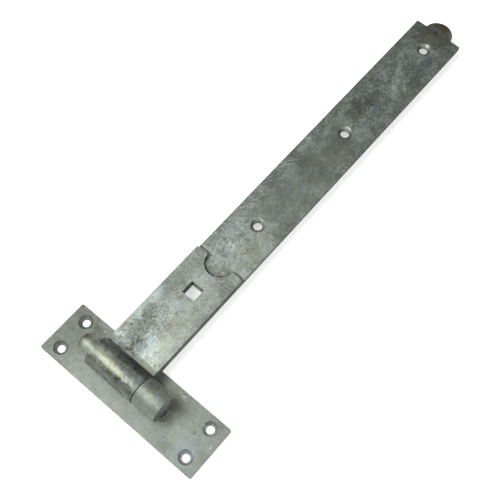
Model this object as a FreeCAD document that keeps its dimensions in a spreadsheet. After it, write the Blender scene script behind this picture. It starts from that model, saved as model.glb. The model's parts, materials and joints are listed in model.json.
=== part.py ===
"""Hook and band hinge: a strip-iron band with a rolled eye, on a pin carried by a screwed plate.

Frame: the plate lies with its back on z = 0 and its middle at the origin. The pin runs along +Y
above it, and the band reaches along +X from the pin, with its countersunk face up.
"""
import FreeCAD, Part
import math
import os

import Sketcher

# Driving dimensions, in millimetres and degrees
SIZES = {
    # Band: one flat strip with an eye rolled at its heel and a short leaf folded back on top
    "band_width": 50.0,
    "strip_thick": 4.8,
    "eye_rise": 10.2,
    "heel_radius": 15.0,
    "crease_radius": 1.2,
    "leaf_gap": 0.3,
    "tip_reach": 446.8,
    "lobe_radius": 14.1,
    "lobe_inset": 1.3,
    "return_reach": 122.5,
    "bite_radius": 13.0,
    "shoulder_crown": 0.9,
    "coach_square": 13.0,
    "coach_inset": 33.4,
    "first_hole_gap": 50.8,
    "last_hole_inset": 24.5,
    "band_hole_bore": 8.0,
    "band_hole_sink": 13.4,
    "sink_angle": 90.0,
    # Plate: screwed to the post by its four corners
    "plate_length": 166.0,
    "plate_width": 50.0,
    "plate_thick": 5.0,
    "plate_corner": 1.5,
    "plate_hole_inset": 13.5,
    "plate_hole_spread": 29.5,
    "plate_hole_bore": 7.0,
    "plate_hole_sink": 12.8,
    # Strap: wrapped round the foot of the pin, both tails let through the plate
    "strap_width": 24.0,
    "strap_thick": 4.6,
    "strap_start": 48.0,
    "strap_play": 0.1,
    "waist_radius": 1.5,
    "seam_gap": 0.3,
    "slot_play": 0.1,
    "tail_recess": 0.4,
    # Pin: round bar with a domed end that stands out above the eye
    "pin_diameter": 16.0,
    "pin_rise": 19.5,
    "pin_proud": 15.2,
    "pin_recess": 0.3,
    "pin_foot_bevel": 0.5,
    "pin_tip_round": 3.6,
    "pin_crown_radius": 22.0,
    # Running clearances of the band on the hook
    "eye_play": 0.4,
    "shoulder_gap": 0.4,
    # Weld: bead round the tails where they enter the plate
    "weld_leg": 1.6,
    "weld_height": 1.55,
    "weld_slope": 45.0,
}

BAND_HOLES = 3
START, END, CENTRE = 1, 2, 3
ORIGIN = (-1, 1)
AXIS_V = -2

doc = FreeCAD.newDocument("hook_and_band_hinge")


def fill_sheet():
    """Write every driving dimension to the sheet, one aliased cell each."""
    sheet = doc.addObject("Spreadsheet::Sheet", "Sizes")
    for row, (alias, value) in enumerate(SIZES.items(), start=1):
        sheet.set("A%d" % row, alias.replace("_", " "))
        sheet.set("B%d" % row, repr(value))
        sheet.setAlias("B%d" % row, alias)
    doc.recompute()


def size(expression):
    """Value of an expression on the sheet's cells."""
    return float(doc.getObject("Sizes").evalExpression(expression))


# Places and sizes that several pieces share, as expressions on the sheet
AXIS_HEIGHT = "Sizes.plate_thick + Sizes.pin_rise"
BORE_RADIUS = "Sizes.pin_diameter / 2 + Sizes.eye_play"
EYE_RADIUS = BORE_RADIUS + " + Sizes.strip_thick"
LEAF_TOP = "Sizes.strip_thick - Sizes.eye_rise"
RETURN_TOP = "2 * Sizes.strip_thick + Sizes.leaf_gap - Sizes.eye_rise"
TIP_END = "Sizes.tip_reach - Sizes.lobe_inset + Sizes.lobe_radius"
RETURN_END = "Sizes.return_reach + Sizes.shoulder_crown"
COACH_REACH = "Sizes.return_reach - Sizes.coach_inset"
FIRST_HOLE = "Sizes.return_reach + Sizes.first_hole_gap"
HOLE_PITCH = "(Sizes.tip_reach - Sizes.last_hole_inset - (%s)) / %d" % (FIRST_HOLE, BAND_HOLES - 1)
SHOULDER = "(Sizes.band_width / 2 - Sizes.bite_radius) / 2"
SHOULDER_RADIUS = (
    "((%s) ^ 2 + Sizes.shoulder_crown ^ 2) / (2 * Sizes.shoulder_crown)" % SHOULDER
)
WRAP_BORE = "Sizes.pin_diameter / 2 + Sizes.strap_play"
WRAP_RADIUS = WRAP_BORE + " + Sizes.strap_thick"
TAILS_WIDTH = "2 * Sizes.strap_thick + Sizes.seam_gap"
TAIL_DROP = AXIS_HEIGHT + " - Sizes.tail_recess"
STRAP_MIDDLE = "Sizes.strap_start + Sizes.strap_width / 2 - Sizes.plate_length / 2"
STRAP_TOP = "Sizes.strap_start + Sizes.strap_width - Sizes.plate_length / 2"
EYE_MIDDLE = STRAP_TOP + " + Sizes.shoulder_gap + Sizes.band_width / 2"
PIN_FOOT = "Sizes.strap_start + Sizes.pin_recess - Sizes.plate_length / 2"
PIN_LENGTH = (
    "Sizes.strap_width - Sizes.pin_recess + Sizes.shoulder_gap + Sizes.band_width + Sizes.pin_proud"
)


def new_body(label, **place):
    """Body with a label of its own, placed by expressions for x, y and z."""
    body = doc.addObject("PartDesign::Body", label)
    body.Label = label
    for axis, expression in place.items():
        body.setExpression("Placement.Base." + axis, expression)
    return body


def new_sketch(body, role, name, **offset):
    """Sketch on one of the body's origin planes, moved within it by expressions."""
    sketch = body.newObject("Sketcher::SketchObject", name)
    plane = next(item for item in body.Origin.OriginFeatures if item.Role == role)
    sketch.AttachmentSupport = [(plane, "")]
    sketch.MapMode = "FlatFace"
    for axis, expression in offset.items():
        sketch.setExpression("AttachmentOffset.Base." + axis, expression)
    doc.recompute()
    return sketch


def line(sketch, start, end):
    """Straight edge between two points."""
    return sketch.addGeometry(
        Part.LineSegment(FreeCAD.Vector(*start, 0), FreeCAD.Vector(*end, 0)), False
    )


def arc(sketch, centre, radius, start, end):
    """Round edge, counter-clockwise from start to end."""
    angles = [math.atan2(point[1] - centre[1], point[0] - centre[0]) for point in (start, end)]
    circle = Part.Circle(FreeCAD.Vector(*centre, 0), FreeCAD.Vector(0, 0, 1), radius)
    return sketch.addGeometry(Part.ArcOfCircle(circle, *angles), False)


def circle_at(sketch, x, y, radius):
    """Whole circle."""
    centre = FreeCAD.Vector(x, y, 0)
    return sketch.addGeometry(Part.Circle(centre, FreeCAD.Vector(0, 0, 1), radius), False)


def tie(sketch, kind, *where):
    """Add a constraint that has no size."""
    sketch.addConstraint(Sketcher.Constraint(kind, *where))


def hold(sketch, name, expression, kind, *where):
    """Add a named dimension that follows the sheet."""
    index = sketch.addConstraint(Sketcher.Constraint(kind, *where, size(expression)))
    sketch.renameConstraint(index, name)
    sketch.setExpression("Constraints." + name, expression)


def rectangle(sketch, wide, deep):
    """Rectangle centred on the sketch's origin, sized by two expressions."""
    half_x, half_y = size(wide) / 2, size(deep) / 2
    corners = [(-half_x, -half_y), (half_x, -half_y), (half_x, half_y), (-half_x, half_y)]
    edges = [line(sketch, corners[i], corners[(i + 1) % 4]) for i in range(4)]
    for i in range(4):
        tie(sketch, "Coincident", edges[i], END, edges[(i + 1) % 4], START)
        tie(sketch, "Vertical" if i % 2 else "Horizontal", edges[i])
    tie(sketch, "Symmetric", edges[0], START, edges[2], START, *ORIGIN)
    hold(sketch, "wide", wide, "DistanceX", edges[0], START, edges[0], END)
    hold(sketch, "deep", deep, "DistanceY", edges[1], START, edges[1], END)


def pad(body, sketch, name, length, both_ways=False):
    """Raise a sketch into a solid, to one side or evenly to both."""
    feature = body.newObject("PartDesign::Pad", name)
    feature.Profile = sketch
    feature.Midplane = both_ways
    feature.setExpression("Length", length)
    doc.recompute()
    return feature


def check_cut(body, volume_before, name):
    """Stop where a cut removed nothing."""
    doc.recompute()
    if body.Shape.Volume >= volume_before:
        raise RuntimeError("%s: %s cuts nothing" % (body.Label, name))


def pocket(body, sketch, name, depth=None):
    """Cut a sketch down to a depth, or right through both ways."""
    before = body.Shape.Volume
    feature = body.newObject("PartDesign::Pocket", name)
    feature.Profile = sketch
    if depth is None:
        feature.Type = "ThroughAll"
        feature.Midplane = True
    else:
        feature.setExpression("Length", depth)
    check_cut(body, before, name)
    return feature


def countersunk(body, sketch, name, bore, sink):
    """Drill and countersink a through hole at each circle of a sketch."""
    before = body.Shape.Volume
    feature = body.newObject("PartDesign::Hole", name)
    feature.Profile = sketch
    doc.recompute()
    feature.DepthType = "ThroughAll"
    feature.HoleCutType = "Countersink"
    feature.HoleCutCustomValues = True
    feature.setExpression("Diameter", bore)
    feature.setExpression("HoleCutDiameter", sink)
    feature.setExpression("HoleCutCountersinkAngle", "Sizes.sink_angle")
    check_cut(body, before, name)
    return feature


def draw_band_profile(sketch):
    """Draw the folded strip from the side: long leaf, heel, eye, crease and return leaf."""
    bore, eye, thick = size(BORE_RADIUS), size(EYE_RADIUS), SIZES["strip_thick"]
    heel, crease = SIZES["heel_radius"], SIZES["crease_radius"]
    back, leaf_top, return_top = -SIZES["eye_rise"], size(LEAF_TOP), size(RETURN_TOP)
    return_low = return_top - thick
    tip, return_end = size(TIP_END), size(RETURN_END)
    heel_z, crease_z = back - heel, return_top + crease
    heel_at = (math.sqrt((eye + heel) ** 2 - heel_z ** 2), heel_z)
    crease_at = (math.sqrt((eye + crease) ** 2 - crease_z ** 2), crease_z)

    def toward(centre, radius):
        """Point at a radius from the eye's axis, on the way to a bend's centre."""
        reach = math.hypot(*centre)
        return (centre[0] * radius / reach, centre[1] * radius / reach)

    back_face = line(sketch, (tip, back), (heel_at[0], back))
    heel_in = arc(sketch, heel_at, heel, (heel_at[0], back), toward(heel_at, eye))
    eye_out = arc(sketch, (0, 0), eye, toward(crease_at, eye), toward(heel_at, eye))
    crease_in = arc(sketch, crease_at, crease, toward(crease_at, eye), (crease_at[0], return_top))
    upper_face = line(sketch, (crease_at[0], return_top), (return_end, return_top))
    return_edge = line(sketch, (return_end, return_top), (return_end, return_low))
    lower_face = line(sketch, (return_end, return_low), (crease_at[0], return_low))
    crease_out = arc(
        sketch, crease_at, crease + thick, toward(crease_at, bore), (crease_at[0], return_low)
    )
    eye_in = arc(sketch, (0, 0), bore, toward(crease_at, bore), toward(heel_at, bore))
    heel_out = arc(sketch, heel_at, heel + thick, (heel_at[0], leaf_top), toward(heel_at, bore))
    front_face = line(sketch, (heel_at[0], leaf_top), (tip, leaf_top))
    tip_edge = line(sketch, (tip, leaf_top), (tip, back))

    smooth = [
        (back_face, END, heel_in, START), (heel_in, END, eye_out, END),
        (eye_out, START, crease_in, START), (crease_in, END, upper_face, START),
        (lower_face, END, crease_out, END), (crease_out, START, eye_in, START),
        (eye_in, END, heel_out, END), (heel_out, START, front_face, START),
    ]
    for joint in smooth:
        tie(sketch, "Tangent", *joint)
    square = [
        (upper_face, END, return_edge, START), (return_edge, END, lower_face, START),
        (front_face, END, tip_edge, START), (tip_edge, END, back_face, START),
    ]
    for joint in square:
        tie(sketch, "Coincident", *joint)
    for edge in (back_face, upper_face, lower_face, front_face):
        tie(sketch, "Horizontal", edge)
    for edge in (return_edge, tip_edge):
        tie(sketch, "Vertical", edge)
    for round_edge in (eye_in, eye_out):
        tie(sketch, "Coincident", round_edge, CENTRE, *ORIGIN)
    tie(sketch, "Coincident", heel_in, CENTRE, heel_out, CENTRE)
    tie(sketch, "Coincident", crease_in, CENTRE, crease_out, CENTRE)
    hold(sketch, "bore_radius", BORE_RADIUS, "Radius", eye_in)
    hold(sketch, "eye_radius", EYE_RADIUS, "Radius", eye_out)
    hold(sketch, "heel_radius", "Sizes.heel_radius", "Radius", heel_in)
    hold(sketch, "crease_radius", "Sizes.crease_radius", "Radius", crease_in)
    hold(sketch, "eye_rise", "Sizes.eye_rise", "DistanceY", back_face, END, *ORIGIN)
    hold(sketch, "leaf_gap", "Sizes.leaf_gap", "DistanceY", front_face, START, lower_face, END)
    hold(sketch, "tip_end", TIP_END, "DistanceX", *ORIGIN, tip_edge, START)
    hold(sketch, "return_end", RETURN_END, "DistanceX", *ORIGIN, return_edge, START)


def draw_tip_waste(sketch):
    """Draw what is cropped off round the tip, so that a round lobe is left between shoulders."""
    shoulder, radius, edge = SIZES["tip_reach"], SIZES["lobe_radius"], SIZES["band_width"]
    middle = (shoulder - SIZES["lobe_inset"], 0)
    cusp = math.sqrt(radius ** 2 - SIZES["lobe_inset"] ** 2)
    beyond = middle[0] + 2 * radius
    lobe = arc(sketch, middle, radius, (shoulder, -cusp), (shoulder, cusp))
    upper = line(sketch, (shoulder, cusp), (shoulder, edge))
    far_upper = line(sketch, (shoulder, edge), (beyond, edge))
    far_edge = line(sketch, (beyond, edge), (beyond, -edge))
    far_lower = line(sketch, (beyond, -edge), (shoulder, -edge))
    lower = line(sketch, (shoulder, -edge), (shoulder, -cusp))
    loop = [lobe, upper, far_upper, far_edge, far_lower, lower]
    for this, following in zip(loop, loop[1:] + loop[:1]):
        tie(sketch, "Coincident", this, END, following, START)
    for edge_id in (upper, far_edge, lower):
        tie(sketch, "Vertical", edge_id)
    for edge_id in (far_upper, far_lower):
        tie(sketch, "Horizontal", edge_id)
    tie(sketch, "PointOnObject", lobe, CENTRE, -1)
    hold(sketch, "lobe_radius", "Sizes.lobe_radius", "Radius", lobe)
    hold(sketch, "shoulder", "Sizes.tip_reach", "DistanceX", *ORIGIN, upper, START)
    hold(sketch, "lobe_inset", "Sizes.lobe_inset", "DistanceX", lobe, CENTRE, upper, START)
    hold(sketch, "past_edge", "Sizes.band_width", "DistanceY", *ORIGIN, far_upper, START)
    hold(sketch, "past_lower", "Sizes.band_width", "DistanceY", far_lower, END, *ORIGIN)
    hold(sketch, "past_tip", "2 * Sizes.lobe_radius", "DistanceX", lobe, CENTRE, far_edge, START)


def draw_return_waste(sketch):
    """Draw what is cropped off the return leaf: a round bite between two crowned shoulders."""
    bite_radius, edge = SIZES["bite_radius"], SIZES["band_width"] / 2
    crown, radius = SIZES["shoulder_crown"], size(SHOULDER_RADIUS)
    past_edge, past_end = 2 * edge, crown + SIZES["strip_thick"]
    middle = (bite_radius + edge) / 2
    upper = arc(sketch, (crown - radius, middle), radius, (0, bite_radius), (0, edge))
    bite = arc(sketch, (0, 0), bite_radius, (0, bite_radius), (0, -bite_radius))
    lower = arc(sketch, (crown - radius, -middle), radius, (0, -edge), (0, -bite_radius))
    lower_out = line(sketch, (0, -edge), (0, -past_edge))
    far_lower = line(sketch, (0, -past_edge), (past_end, -past_edge))
    far_edge = line(sketch, (past_end, -past_edge), (past_end, past_edge))
    far_upper = line(sketch, (past_end, past_edge), (0, past_edge))
    upper_out = line(sketch, (0, past_edge), (0, edge))
    joints = [
        (upper, START, bite, START), (bite, END, lower, END), (lower, START, lower_out, START),
        (lower_out, END, far_lower, START), (far_lower, END, far_edge, START),
        (far_edge, END, far_upper, START), (far_upper, END, upper_out, START),
        (upper_out, END, upper, END),
    ]
    for joint in joints:
        tie(sketch, "Coincident", *joint)
    for edge_id in (lower_out, far_edge, upper_out):
        tie(sketch, "Vertical", edge_id)
    for edge_id in (far_lower, far_upper):
        tie(sketch, "Horizontal", edge_id)
    tie(sketch, "Coincident", bite, CENTRE, *ORIGIN)
    for point in ((bite, START), (bite, END), (lower_out, START), (upper_out, END)):
        tie(sketch, "PointOnObject", *point, AXIS_V)
    hold(sketch, "bite_radius", "Sizes.bite_radius", "Radius", bite)
    hold(sketch, "upper_crown", SHOULDER_RADIUS, "Radius", upper)
    hold(sketch, "lower_crown", SHOULDER_RADIUS, "Radius", lower)
    hold(sketch, "upper_edge", "Sizes.band_width / 2", "DistanceY", *ORIGIN, upper_out, END)
    hold(sketch, "lower_edge", "Sizes.band_width / 2", "DistanceY", lower_out, START, *ORIGIN)
    hold(sketch, "past_upper", "Sizes.band_width", "DistanceY", *ORIGIN, upper_out, START)
    hold(sketch, "past_lower", "Sizes.band_width", "DistanceY", lower_out, END, *ORIGIN)
    past = "Sizes.shoulder_crown + Sizes.strip_thick"
    hold(sketch, "past_end", past, "DistanceX", *ORIGIN, far_edge, START)


def make_band():
    """Fold the strip, crop its two ends and pierce it."""
    body = new_body("band", y=EYE_MIDDLE, z=AXIS_HEIGHT)
    profile = new_sketch(body, "XZ_Plane", "BandProfile")
    draw_band_profile(profile)
    pad(body, profile, "BandStrip", "Sizes.band_width", both_ways=True)

    waste = new_sketch(body, "XY_Plane", "TipWaste")
    draw_tip_waste(waste)
    pocket(body, waste, "TipCrop")

    bite = new_sketch(body, "XY_Plane", "ReturnWaste", x="Sizes.return_reach", z=RETURN_TOP)
    draw_return_waste(bite)
    pocket(body, bite, "ReturnCrop", "Sizes.strip_thick + Sizes.leaf_gap / 2")

    square = new_sketch(body, "XY_Plane", "CoachSquare", x=COACH_REACH)
    rectangle(square, "Sizes.coach_square", "Sizes.coach_square")
    pocket(body, square, "CoachPunch")

    holes = new_sketch(body, "XY_Plane", "BandHoles", x=FIRST_HOLE, z=LEAF_TOP)
    for index in range(BAND_HOLES):
        pitch = "%d * %s" % (index, HOLE_PITCH)
        hole = circle_at(holes, size(pitch), 0, SIZES["band_hole_bore"] / 2)
        hold(holes, "bore_%d" % index, "Sizes.band_hole_bore", "Diameter", hole)
        if index == 0:
            tie(holes, "Coincident", hole, CENTRE, *ORIGIN)
        else:
            tie(holes, "PointOnObject", hole, CENTRE, -1)
            hold(holes, "pitch_%d" % index, pitch, "DistanceX", *ORIGIN, hole, CENTRE)
    countersunk(body, holes, "BandScrewHoles", "Sizes.band_hole_bore", "Sizes.band_hole_sink")
    return body


def make_plate():
    """Cut the plate to length, round its corners, slot it for the tails and drill it."""
    body = new_body("hook_plate")
    outline = new_sketch(body, "XY_Plane", "PlateOutline")
    rectangle(outline, "Sizes.plate_width", "Sizes.plate_length")
    blank = pad(body, outline, "PlateBlank", "Sizes.plate_thick")

    upright = [
        "Edge%d" % number
        for number, edge in enumerate(blank.Shape.Edges, start=1)
        if edge.BoundBox.XLength + edge.BoundBox.YLength < edge.BoundBox.ZLength
    ]
    corners = body.newObject("PartDesign::Fillet", "PlateCorners")
    corners.Base = (blank, upright)
    corners.setExpression("Radius", "Sizes.plate_corner")
    doc.recompute()

    slot = new_sketch(body, "XY_Plane", "TailSlot", y=STRAP_MIDDLE)
    rectangle(
        slot, TAILS_WIDTH + " + 2 * Sizes.slot_play", "Sizes.strap_width + 2 * Sizes.slot_play"
    )
    pocket(body, slot, "TailSlotPunch")

    holes = new_sketch(body, "XY_Plane", "PlateHoles", z="Sizes.plate_thick")
    across = "Sizes.plate_hole_spread / 2"
    along = "Sizes.plate_length / 2 - Sizes.plate_hole_inset"
    for index, (side, end) in enumerate([(-1, -1), (1, -1), (1, 1), (-1, 1)]):
        hole = circle_at(holes, side * size(across), end * size(along), SIZES["plate_hole_bore"] / 2)
        middle = (hole, CENTRE)
        hold(holes, "bore_%d" % index, "Sizes.plate_hole_bore", "Diameter", hole)
        pair_x = (*ORIGIN, *middle) if side > 0 else (*middle, *ORIGIN)
        pair_y = (*ORIGIN, *middle) if end > 0 else (*middle, *ORIGIN)
        hold(holes, "across_%d" % index, across, "DistanceX", *pair_x)
        hold(holes, "along_%d" % index, along, "DistanceY", *pair_y)
    countersunk(body, holes, "PlateScrewHoles", "Sizes.plate_hole_bore", "Sizes.plate_hole_sink")
    return body


def draw_strap_profile(sketch):
    """Draw the strap from its end: the wrap round the pin, and two tails side by side below."""
    bore, wrap = size(WRAP_BORE), size(WRAP_RADIUS)
    thick, waist, half_gap = SIZES["strap_thick"], SIZES["waist_radius"], SIZES["seam_gap"] / 2
    foot = -size(TAIL_DROP)
    outer, middle = half_gap + thick, half_gap + thick + waist
    waist_z = -math.sqrt((wrap + waist) ** 2 - middle ** 2)
    edges = {}
    for side in (1, -1):
        centre = (side * middle, waist_z)
        share_wrap, share_bore = wrap / (wrap + waist), bore / (wrap + waist)
        on_wrap = (centre[0] * share_wrap, centre[1] * share_wrap)
        on_bore = (centre[0] * share_bore, centre[1] * share_bore)
        tail_out, tail_in = (side * outer, waist_z), (side * half_gap, waist_z)
        ends = (on_wrap, tail_out) if side > 0 else (tail_out, on_wrap)
        edges["waist", side] = arc(sketch, centre, waist, *ends)
        ends = (on_bore, tail_in) if side > 0 else (tail_in, on_bore)
        edges["throat", side] = arc(sketch, centre, waist + thick, *ends)
        edges["outer", side] = line(sketch, tail_out, (side * outer, foot))
        edges["foot", side] = line(sketch, (side * outer, foot), (side * half_gap, foot))
        edges["inner", side] = line(sketch, (side * half_gap, foot), tail_in)
        edges["on_wrap", side], edges["on_bore", side] = on_wrap, on_bore
    wrap_out = arc(sketch, (0, 0), wrap, edges["on_wrap", 1], edges["on_wrap", -1])
    wrap_in = arc(sketch, (0, 0), bore, edges["on_bore", 1], edges["on_bore", -1])

    for side in (1, -1):
        near, far = (START, END) if side > 0 else (END, START)
        waist_arc, throat_arc = edges["waist", side], edges["throat", side]
        out_edge, foot_edge, in_edge = (edges[key, side] for key in ("outer", "foot", "inner"))
        tie(sketch, "Tangent", wrap_out, near, waist_arc, near)
        tie(sketch, "Tangent", waist_arc, far, out_edge, START)
        tie(sketch, "Tangent", in_edge, END, throat_arc, far)
        tie(sketch, "Tangent", throat_arc, near, wrap_in, near)
        tie(sketch, "Coincident", out_edge, END, foot_edge, START)
        tie(sketch, "Coincident", foot_edge, END, in_edge, START)
        tie(sketch, "Coincident", waist_arc, CENTRE, throat_arc, CENTRE)
        tie(sketch, "Vertical", out_edge)
        tie(sketch, "Vertical", in_edge)
        tie(sketch, "Horizontal", foot_edge)
        label = "right" if side > 0 else "left"
        reach = (*ORIGIN, in_edge, START) if side > 0 else (in_edge, START, *ORIGIN)
        hold(sketch, "waist_" + label, "Sizes.waist_radius", "Radius", waist_arc)
        hold(sketch, "seam_" + label, "Sizes.seam_gap / 2", "DistanceX", *reach)
        hold(sketch, "foot_" + label, TAIL_DROP, "DistanceY", in_edge, START, *ORIGIN)
    for round_edge in (wrap_out, wrap_in):
        tie(sketch, "Coincident", round_edge, CENTRE, *ORIGIN)
    hold(sketch, "wrap_bore", WRAP_BORE, "Radius", wrap_in)
    hold(sketch, "wrap_radius", WRAP_RADIUS, "Radius", wrap_out)


def make_strap():
    """Wrap the strap round the foot of the pin."""
    body = new_body("hook_strap", y=STRAP_MIDDLE, z=AXIS_HEIGHT)
    profile = new_sketch(body, "XZ_Plane", "StrapProfile")
    draw_strap_profile(profile)
    pad(body, profile, "StrapWrap", "Sizes.strap_width", both_ways=True)
    return body


def draw_pin_profile(sketch):
    """Draw half of the pin: bevelled foot, shank, rounded edge and a low crown."""
    radius, length = SIZES["pin_diameter"] / 2, size(PIN_LENGTH)
    bevel, tip_round, crown = (
        SIZES[key] for key in ("pin_foot_bevel", "pin_tip_round", "pin_crown_radius")
    )
    crown_z = length - crown
    round_x = radius - tip_round
    round_z = crown_z + math.sqrt((crown - tip_round) ** 2 - round_x ** 2)
    share = crown / (crown - tip_round)
    meet = (round_x * share, crown_z + (round_z - crown_z) * share)
    foot = line(sketch, (0, 0), (radius - bevel, 0))
    foot_bevel = line(sketch, (radius - bevel, 0), (radius, bevel))
    shank = line(sketch, (radius, bevel), (radius, round_z))
    edge = arc(sketch, (round_x, round_z), tip_round, (radius, round_z), meet)
    dome = arc(sketch, (0, crown_z), crown, meet, (0, length))
    axis = line(sketch, (0, length), (0, 0))
    for joint in ((foot, foot_bevel), (foot_bevel, shank), (dome, axis), (axis, foot)):
        tie(sketch, "Coincident", joint[0], END, joint[1], START)
    tie(sketch, "Tangent", shank, END, edge, START)
    tie(sketch, "Tangent", edge, END, dome, START)
    tie(sketch, "Coincident", foot, START, *ORIGIN)
    tie(sketch, "Horizontal", foot)
    tie(sketch, "Vertical", shank)
    tie(sketch, "Vertical", axis)
    tie(sketch, "PointOnObject", dome, CENTRE, AXIS_V)
    hold(sketch, "radius", "Sizes.pin_diameter / 2", "DistanceX", *ORIGIN, shank, START)
    hold(sketch, "bevel_across", "Sizes.pin_foot_bevel", "DistanceX", foot, END, shank, START)
    hold(sketch, "bevel_along", "Sizes.pin_foot_bevel", "DistanceY", foot, END, shank, START)
    hold(sketch, "tip_round", "Sizes.pin_tip_round", "Radius", edge)
    hold(sketch, "crown", "Sizes.pin_crown_radius", "Radius", dome)
    hold(sketch, "length", PIN_LENGTH, "DistanceY", *ORIGIN, axis, START)


def make_pin():
    """Turn the pin."""
    body = new_body("hook_pin", y=PIN_FOOT, z=AXIS_HEIGHT)
    profile = new_sketch(body, "XY_Plane", "PinProfile")
    draw_pin_profile(profile)
    turned = body.newObject("PartDesign::Revolution", "PinTurned")
    turned.Profile = profile
    turned.ReferenceAxis = (profile, ["V_Axis"])
    turned.Angle = 360.0
    doc.recompute()
    return body


def make_weld():
    """Lay the bead round the tails: a tapered collar on the plate, open in the middle."""
    body = new_body("tail_weld", y=STRAP_MIDDLE, z="Sizes.plate_thick")
    outline = new_sketch(body, "XY_Plane", "WeldOutline")
    rectangle(
        outline, TAILS_WIDTH + " + 2 * Sizes.weld_leg", "Sizes.strap_width + 2 * Sizes.weld_leg"
    )
    bead = pad(body, outline, "WeldBead", "Sizes.weld_height")
    bead.setExpression("TaperAngle", "-Sizes.weld_slope")
    doc.recompute()
    opening = new_sketch(body, "XY_Plane", "WeldOpening")
    rectangle(opening, TAILS_WIDTH, "Sizes.strap_width")
    pocket(body, opening, "WeldInside")
    return body


def check_document():
    """Stop where any object failed to compute."""
    for item in doc.Objects:
        if "Invalid" in item.State or "Error" in item.State:
            raise RuntimeError("%s failed: %s" % (item.Name, item.State))


def export(bodies):
    """Check every sub-part and write it to its own file."""
    for body in bodies:
        shape = body.Shape
        if shape.isNull() or not shape.isValid() or len(shape.Solids) != 1:
            raise RuntimeError("%s is not one valid solid" % body.Label)
    os.makedirs("parts", exist_ok=True)
    for body in bodies:
        body.Shape.exportStep("parts/%s.step" % body.Label)
        box = body.Shape.BoundBox
        print(
            "%-11s %8.0f mm3  x %.1f..%.1f  y %.1f..%.1f  z %.1f..%.1f"
            % (
                body.Label, body.Shape.Volume,
                box.XMin, box.XMax, box.YMin, box.YMax, box.ZMin, box.ZMax,
            )
        )


fill_sheet()
hinge = [make_band(), make_plate(), make_strap(), make_pin(), make_weld()]
doc.recompute()
check_document()
export(hinge)
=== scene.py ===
"""Hook and band hinge in hot-dip galvanised steel: zinc coats, weld bead, zinc lumps and studio."""
import json
import logging
import math
from dataclasses import dataclass
from enum import Enum, IntEnum
from typing import Any, Mapping, Sequence

import bmesh
import bpy
from mathutils import Color, Matrix, Vector, noise


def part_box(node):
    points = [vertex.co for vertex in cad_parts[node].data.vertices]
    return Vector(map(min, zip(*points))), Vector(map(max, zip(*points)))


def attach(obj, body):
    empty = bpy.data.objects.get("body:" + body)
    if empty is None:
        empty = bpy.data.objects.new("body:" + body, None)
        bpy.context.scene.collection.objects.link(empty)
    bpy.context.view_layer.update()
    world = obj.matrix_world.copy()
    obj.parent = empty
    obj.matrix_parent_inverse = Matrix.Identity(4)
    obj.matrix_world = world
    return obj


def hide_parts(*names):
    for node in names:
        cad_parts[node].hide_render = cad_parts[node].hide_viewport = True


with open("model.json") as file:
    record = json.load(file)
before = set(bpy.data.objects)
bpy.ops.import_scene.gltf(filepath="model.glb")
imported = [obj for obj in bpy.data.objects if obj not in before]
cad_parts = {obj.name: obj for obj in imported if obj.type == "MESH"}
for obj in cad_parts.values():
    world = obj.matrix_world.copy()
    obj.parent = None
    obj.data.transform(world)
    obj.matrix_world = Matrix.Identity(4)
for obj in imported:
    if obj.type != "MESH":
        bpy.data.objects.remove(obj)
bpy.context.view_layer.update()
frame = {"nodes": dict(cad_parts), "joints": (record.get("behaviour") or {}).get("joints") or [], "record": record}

MOUNTS = {mount["name"]: mount for mount in frame["record"]["mounts"]}
MM = 0.001
SCREEN_WHITE = 255
NOISE_MIDDLE = 0.5
JOIN_GAP = 0.002 * MM
SHARP_ANGLE = math.radians(35)
CORNER_TURNS = (math.radians(-60), math.radians(-30))
log = logging.getLogger("hinge")

Colour = tuple[float, float, float, float]
Point = tuple[float, float, float]
Pair = tuple[float, float]
Span = tuple[float, float]


def shade(red: float, green: float, blue: float) -> Colour:
    """Linear colour with full alpha, from screen levels between 0 and 255."""
    screen = Color([level / SCREEN_WHITE for level in (red, green, blue)])
    return (*screen.from_srgb_to_scene_linear(), 1.0)


def screw_holes(mount: str) -> list[Vector]:
    """Find the middles of a mount's screw holes.

    Args:
        mount: The mount's name.

    Returns:
        The middles in millimetres of the row frame, from the least X and Y up.
    """
    middle = Vector(MOUNTS[mount]["pos_m"]) / MM
    spacing = MOUNTS[mount]["dims"]
    half_x = spacing["spacing_x_mm"] / 2
    half_y = spacing.get("spacing_y_mm", 0.0) / 2
    rows = (-half_y, half_y) if half_y else (0.0,)
    return [middle + Vector((x, y, 0)) for x in (-half_x, half_x) for y in rows]


class Axis(Enum):
    """Level axes of the row frame."""

    X = "X"
    Y = "Y"


class MixSocket(IntEnum):
    """Numbers of the Mix node's sockets for colours, because their names are not unique."""

    AMOUNT = 0
    FIRST = 6
    SECOND = 7
    MIXED = 2


class Mark(Enum):
    """Kinds of mark that the coat carries in places."""

    # TONE and FLAKE also carry painted light and shade in places.
    TONE = "paler or darker zinc, with a soft border"
    FLAKE = "paler or darker zinc, with a crisp ragged border"
    GRAIN = "coarse speckle"
    PLAIN = "even zinc, with fainter clouds"
    SCUFF = "short bright scratches"
    WARM = "brownish film"
    COOL = "bluish zinc"
    STRAW = "straw-coloured zinc"
    RUST = "rust spots"


@dataclass(frozen=True)
class Border:
    """How a mark ends, as shares of its patch's half size.

    Attributes:
        outer: Where it has gone.
        inner: Where it is whole.
        ragged: How far noise moves the border.
    """

    outer: float
    inner: float
    ragged: float


SOFT = Border(outer=1.25, inner=0.35, ragged=1.8)
CRISP = Border(outer=1.08, inner=0.88, ragged=3.2)
CRISP_MARKS = (Mark.FLAKE, Mark.RUST)


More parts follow.
